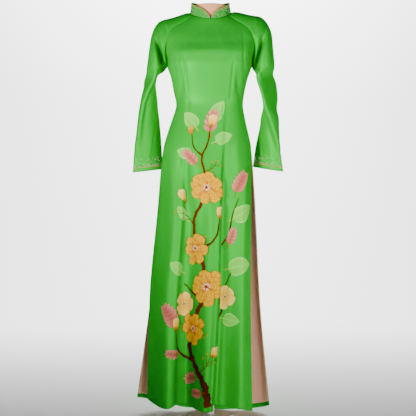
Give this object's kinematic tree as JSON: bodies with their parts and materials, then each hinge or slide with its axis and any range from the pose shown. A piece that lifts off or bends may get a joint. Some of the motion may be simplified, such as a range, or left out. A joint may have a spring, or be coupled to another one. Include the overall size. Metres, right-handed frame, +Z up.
{
  "type": "ao dai tunic on a dress form",
  "caption": "Long fitted silk satin tunic with a stand collar, raglan sleeves and side slits, on a limbless dress form with a stand.",
  "frame": {"origin": "centre of the base plate's underside, on the floor under the pole", "axes": "+Z up along the pole, -Y out of the front of the tunic, +X towards the tunic's left arm, which is on the right of the picture"},
  "size_m": [0.5261, 0.302, 1.4496],
  "materials": {
    "satin": "satin",
    "lining": "matte",
    "form": "satin",
    "stand": "satin"
  },
  "bodies": {
    "root": {"front_panel": "satin", "back_panel": "satin", "left_sleeve": "satin", "right_sleeve": "satin", "collar": "satin", "back_lining": "lining", "dress_form": "form", "pole": "stand", "base_plate": "stand"}
  },
  "joints": []
}
